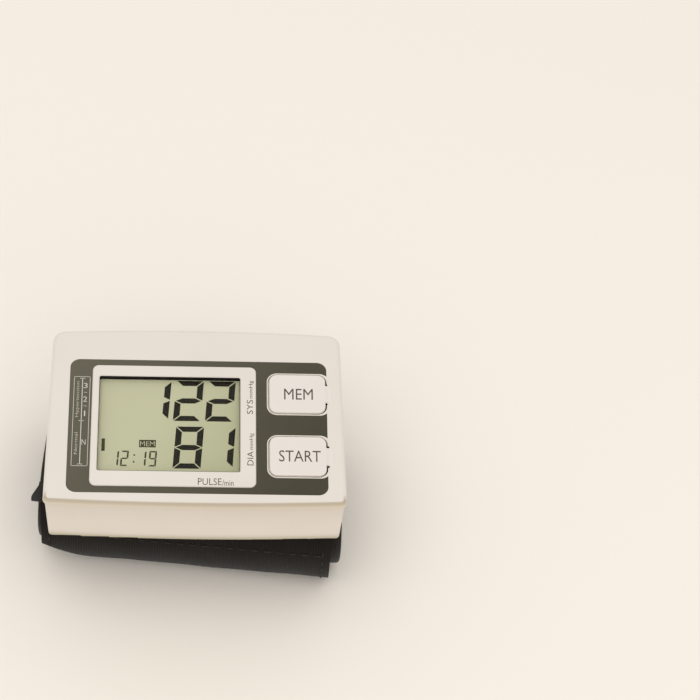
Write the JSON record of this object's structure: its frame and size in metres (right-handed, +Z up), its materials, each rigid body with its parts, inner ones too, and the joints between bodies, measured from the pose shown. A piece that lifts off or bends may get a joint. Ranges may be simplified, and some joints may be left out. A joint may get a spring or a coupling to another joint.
{
  "type": "wrist blood pressure monitor",
  "caption": "Wrist blood pressure monitor with a level LCD face, side-hinged keys, hidden pump and valve, and a closed black wrist cuff with D-ring and peel-open strap.",
  "frame": {"origin": "in the resting plane, under the middle of the case, on the cuff's flat bottom", "axes": "+Z up through the level display face, +X along the wrist to the wearer's right as the display is read, -Y towards the wearer"},
  "size_m": [0.0798, 0.0571, 0.0477],
  "materials": {
    "housing": "satin moulded ABS, warm off-white",
    "display_frame": "satin moulded frame",
    "keys": "satin moulded keys with dark printed words",
    "panel": "fine matt printed film, dark warm grey",
    "lens": "clear polished window",
    "lcd": "reflective twisted nematic display",
    "tray": "plain moulded",
    "zebra": "layered elastomer contact",
    "board": "solder-masked glass laminate",
    "chip": "moulded epoxy",
    "buzzer": "moulded can",
    "switch_body": "moulded body",
    "plunger": "moulded plunger",
    "cell": "wrapped steel can, plain sleeve",
    "contact": "nickel-plated spring steel",
    "lead": "insulated wire",
    "pump_plastic": "moulded acetal",
    "rubber": "moulded rubber",
    "silicone": "translucent silicone tube",
    "steel": "drawn steel",
    "motor_end": "moulded end cap",
    "screw": "zinc-plated",
    "saddle": "moulded saddle",
    "cover_fabric": "ribbed loop fabric, black",
    "shell": "formed spring sheet",
    "bladder": "welded sheet",
    "lining": "soft knit over foam, black",
    "binding": "woven edge tape",
    "ring": "black-coated wire",
    "strap": "ribbed strap fabric, black",
    "hook": "moulded hook tape"
  },
  "bodies": {
    "monitor": {"upper_case": "housing", "lower_case": "housing", "display_frame": "display_frame", "display_panel": "panel", "display_lens": "lens", "lcd_glass": "lcd", "lcd_tray": "tray", "contact_strip": "zebra", "main_board": "board", "processor_chip": "chip", "board_components": "chip", "buzzer": "buzzer", "mem_switch": "switch_body", "start_switch": "switch_body", "battery_cell_1": "cell", "battery_cell_2": "cell", "link_contact": "contact", "positive_contact": "contact", "negative_contact": "contact", "battery_leads": "lead", "motor_leads": "lead", "pump_head": "pump_plastic", "exhaust_valve": "pump_plastic", "pressure_sensor": "pump_plastic", "air_manifold": "pump_plastic", "pump_diaphragm": "rubber", "pump_cradle": "rubber", "pump_tube": "silicone", "valve_tube": "silicone", "sensor_tube": "silicone", "motor_can": "steel", "motor_cap": "motor_end", "case_screws": "screw", "board_screws": "screw", "saddle_screws": "screw", "cuff_saddle": "saddle", "cuff_cover": "cover_fabric", "closure_strap": "cover_fabric", "spring_shell": "shell", "cuff_bladder": "bladder", "bladder_port": "bladder", "cuff_lining": "lining", "binding_left": "binding", "binding_right": "binding"},
    "d_ring_strap": {"d_ring": "ring", "strap_fold": "strap"},
    "strap_flap": {"strap_tail": "strap", "hook_patch": "hook"},
    "memory_key": {"mem_key": "keys", "mem_plunger": "plunger"},
    "start_stop_key": {"start_key": "keys", "start_plunger": "plunger"},
    "cell_door": {"battery_door": "housing"},
    "pump_rotor": {"motor_rotor": "steel", "motor_shaft": "steel", "pump_crank": "pump_plastic"},
    "relief_plunger": {"valve_plunger": "steel"}
  },
  "joints": [
    {"name": "memory_key_press", "type": "hinge", "parent": "monitor", "child": "memory_key", "pos_m": [0.03275, 0.007, 0.0466], "axis": [0, -1, 0], "range_deg": [0, 1.9], "stiffness_Nm_per_rad": 0.4},
    {"name": "start_key_press", "type": "hinge", "parent": "monitor", "child": "start_stop_key", "pos_m": [0.03275, -0.0119, 0.0466], "axis": [0, -1, 0], "range_deg": [0, 1.9], "stiffness_Nm_per_rad": 0.4},
    {"name": "cell_door_slide", "type": "slide", "parent": "monitor", "child": "cell_door", "axis": [0, 1, 0], "range_m": [0, 0.02]},
    {"name": "pump_shaft_turn", "type": "hinge", "parent": "monitor", "child": "pump_rotor", "pos_m": [0.02, -0.0151, 0.03575], "axis": [1, 0, 0], "continuous": true},
    {"name": "relief_valve_slide", "type": "slide", "parent": "monitor", "child": "relief_plunger", "axis": [1, 0, 0], "range_m": [0, 0.0008], "stiffness_N_per_m": 100},
    {"name": "d_ring_swing", "type": "hinge", "parent": "monitor", "child": "d_ring_strap", "pos_m": [-0.00061, -0.01085, 0.02584], "axis": [-0.9957, 0.0924, 0], "range_deg": [0, 8]},
    {"name": "strap_peel", "type": "hinge", "parent": "d_ring_strap", "child": "strap_flap", "pos_m": [-0.00132, -0.01842, 0.02085], "axis": [-0.9957, 0.0924, 0], "range_deg": [0, 100]}
  ]
}
